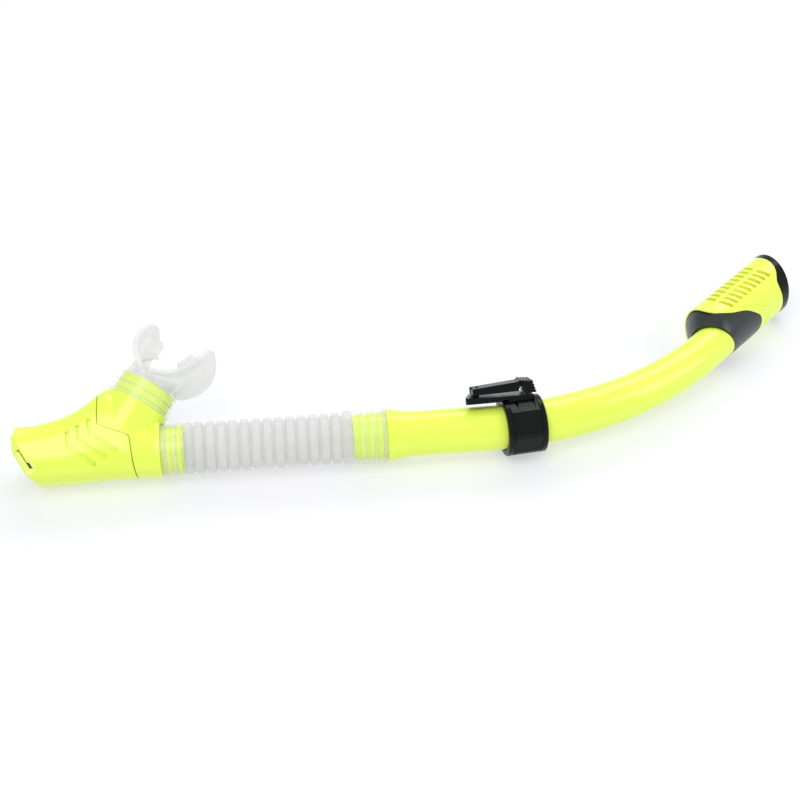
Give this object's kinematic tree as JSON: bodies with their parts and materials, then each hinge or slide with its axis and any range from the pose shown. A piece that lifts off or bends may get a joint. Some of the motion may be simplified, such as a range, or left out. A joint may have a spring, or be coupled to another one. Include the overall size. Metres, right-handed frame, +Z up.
{
  "type": "snorkel tube",
  "caption": "Dry-top snorkel: bent rigid tube with vented splash head, corrugated silicone lower tube, purge chamber, turning bite mouthpiece and strap keeper.",
  "frame": {"origin": "centre of the bottom of the bounding box, on the table the snorkel lies on", "axes": "+X runs along the straight stretch of the tube from the mouthpiece end to the dry top, +Y is the side the tube bends to, +Z is up from the table"},
  "size_m": [0.4635, 0.1534, 0.0587],
  "materials": {
    "yellow_shell": "gloss",
    "black_shell": "satin",
    "clear_silicone": "satin, translucent",
    "seal_silicone": "matte",
    "white_plastic": "matte",
    "pin_steel": "ground"
  },
  "bodies": {
    "tube": {"upper_tube": "yellow_shell", "dry_top_boot": "black_shell", "dry_top_cover": "yellow_shell", "dry_top_cap": "black_shell", "intake_tube": "white_plastic", "flap_pin": "pin_steel"},
    "flex": {"flex_tube": "clear_silicone"},
    "chamber": {"chamber_body": "yellow_shell", "purge_cover": "yellow_shell", "purge_seat": "white_plastic"},
    "mouthpiece": {"mouthpiece": "clear_silicone"},
    "diaphragm": {"purge_diaphragm": "seal_silicone"},
    "sleeve": {"keeper_sleeve": "black_shell"},
    "band": {"keeper_band": "black_shell", "clip_base": "black_shell", "clip_pin": "black_shell"},
    "clip_arm": {"clip_arm": "black_shell"},
    "float": {"float_block": "white_plastic"},
    "flap": {"valve_flap": "white_plastic", "flap_seal": "seal_silicone"}
  },
  "joints": [
    {"name": "flex_twist", "type": "hinge", "parent": "tube", "child": "flex", "pos_m": [-0.0413, -0.0582, 0.0178], "axis": [1, 0, 0], "continuous": true},
    {"name": "flex_bend", "type": "hinge", "parent": "flex", "child": "chamber", "pos_m": [-0.0953, -0.0582, 0.0178], "axis": [0, 0, 1], "range_deg": [-60, 60], "stiffness_Nm_per_rad": 0.25, "deforming": ["flex_tube"]},
    {"name": "mouthpiece_swivel", "type": "hinge", "parent": "chamber", "child": "mouthpiece", "pos_m": [-0.16215, -0.03342, 0.03648], "axis": [0.5446, 0.6698, 0.5047], "continuous": true},
    {"name": "purge_lift", "type": "slide", "parent": "chamber", "child": "diaphragm", "axis": [-1, 0, 0], "range_m": [0, 0.0015], "stiffness_N_per_m": 60},
    {"name": "keeper_travel", "type": "hinge", "parent": "tube", "child": "sleeve", "pos_m": [0.0247, 0.1468, 0.0178], "axis": [0, 0, 1], "range_deg": [-6.1, 24]},
    {"name": "keeper_turn", "type": "hinge", "parent": "sleeve", "child": "band", "pos_m": [0.0465, -0.05704, 0.0178], "axis": [0.9943, 0.1063, 0], "continuous": true},
    {"name": "clip_open", "type": "hinge", "parent": "band", "child": "clip_arm", "pos_m": [0.02043, -0.04841, 0.03746], "axis": [0.0921, -0.8611, 0.5], "range_deg": [0, 12], "stiffness_Nm_per_rad": 0.05},
    {"name": "float_slide", "type": "slide", "parent": "tube", "child": "float", "axis": [0.7337, 0.6794, 0], "range_m": [0, 0.0045]},
    {"name": "flap_close", "type": "hinge", "parent": "tube", "child": "flap", "pos_m": [0.1925, 0.0386, 0.0178], "axis": [0, 0, 1], "range_deg": [-25, 0]}
  ],
  "couplings": [
    {"joint": "flap_close", "follows": "float_slide", "rad_per_m": -96.953}
  ]
}
